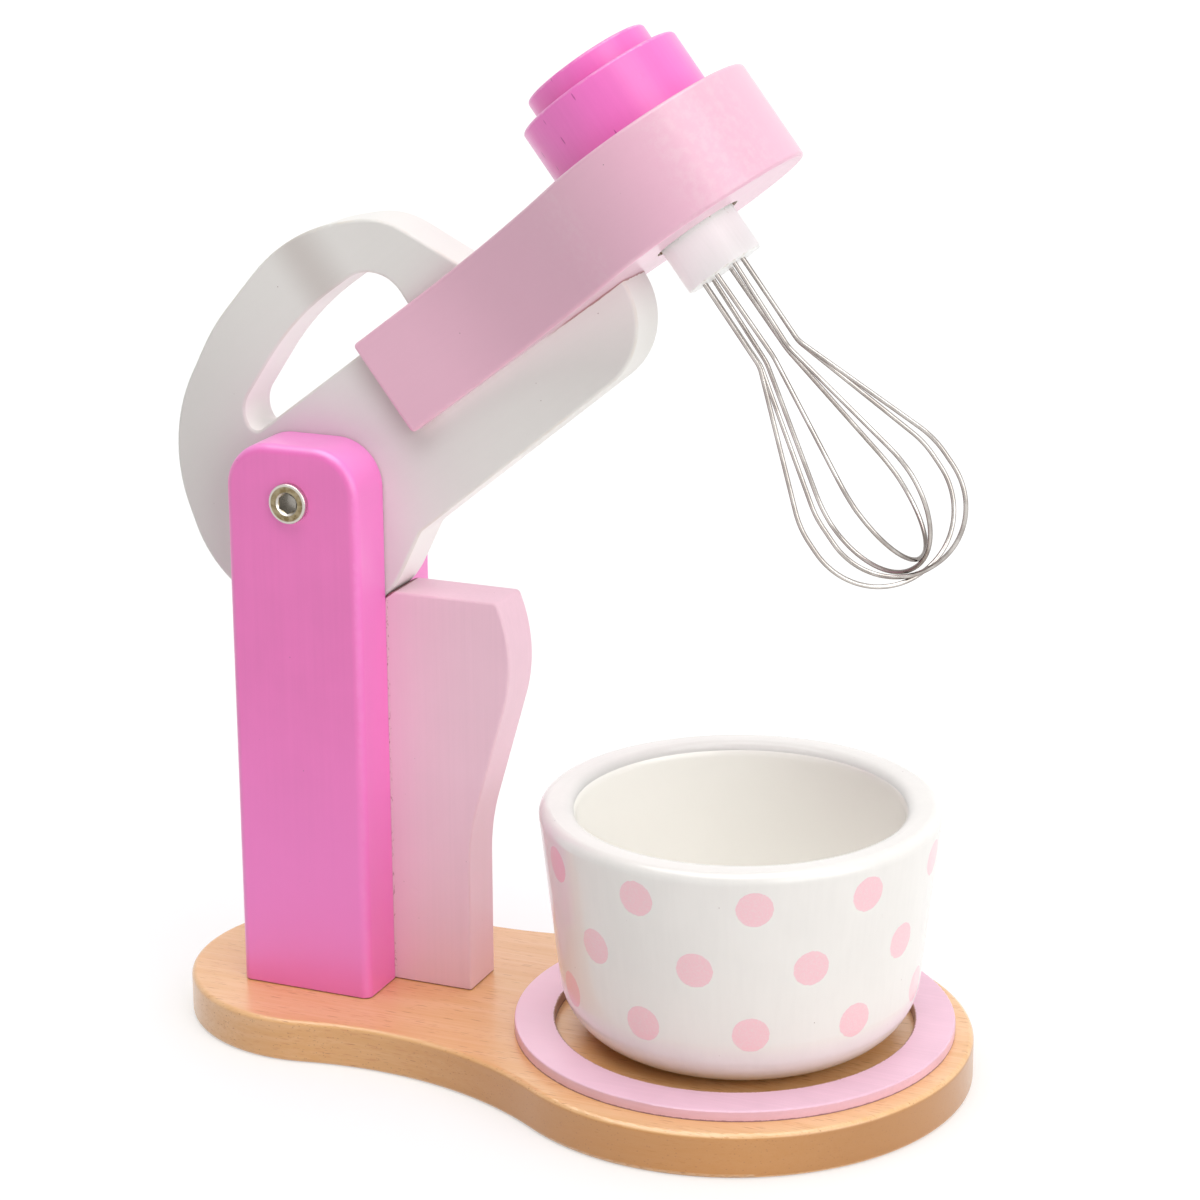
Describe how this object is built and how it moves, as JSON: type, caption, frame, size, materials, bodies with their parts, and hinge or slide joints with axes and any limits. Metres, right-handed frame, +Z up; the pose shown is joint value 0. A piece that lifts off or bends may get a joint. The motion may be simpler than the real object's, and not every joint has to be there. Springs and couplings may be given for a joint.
{
  "type": "toy stand mixer",
  "caption": "Wooden toy stand mixer: lobed base with bowl ring, two posts, tilting arm with handle, round head with turning knob and wire whisk, and a dotted lift-off bowl.",
  "frame": {"origin": "on the underside of the base board, under the centre of the bowl ring", "axes": "+X from the posts towards the bowl, +Y to the toy's left, +Z up"},
  "size_m": [0.2252, 0.129, 0.278],
  "materials": {
    "varnished_rubberwood": "satin clear varnish",
    "hot_pink_paint": "satin paint on solid wood",
    "pale_pink_paint": "satin paint on solid wood",
    "white_paint": "satin paint on plank",
    "bowl_paint": "gloss white paint with pale pink dots",
    "plain_wood": "raw wood, unpainted",
    "wire": "bright drawn steel wire",
    "zinc_steel": "yellowish zinc plating",
    "plain_steel": "plain steel",
    "nylon": "natural nylon"
  },
  "bodies": {
    "stand": {"base_board": "varnished_rubberwood", "bowl_ring": "pale_pink_paint", "left_post": "hot_pink_paint", "right_post": "hot_pink_paint", "front_block": "pale_pink_paint", "post_dowels": "plain_wood", "base_screws": "zinc_steel", "pivot_sleeve_nut": "zinc_steel", "pivot_bolt": "zinc_steel"},
    "arm": {"arm": "white_paint", "head_block": "pale_pink_paint", "head_pins": "plain_steel"},
    "whisk": {"spindle": "plain_wood", "thrust_washer": "nylon", "whisk_collar": "white_paint", "knob_base": "hot_pink_paint", "knob_cap": "hot_pink_paint", "knob_screw": "plain_steel", "whisk_wire_1": "wire", "whisk_wire_2": "wire", "whisk_wire_3": "wire", "whisk_wire_4": "wire"},
    "bowl": {"bowl": "bowl_paint"}
  },
  "joints": [
    {"name": "arm_tilt", "type": "hinge", "parent": "stand", "child": "arm", "pos_m": [-0.1173, 0, 0.1509], "axis": [0, 1, 0], "range_deg": [0, 39.1]},
    {"name": "whisk_spin", "type": "hinge", "parent": "arm", "child": "whisk", "pos_m": [-0.01273, 0, 0.23013], "axis": [-0.6039, 0, 0.7971], "continuous": true},
    {"name": "bowl_lift", "type": "slide", "parent": "stand", "child": "bowl", "axis": [0, 0, 1], "range_m": [0, 0.014]}
  ]
}
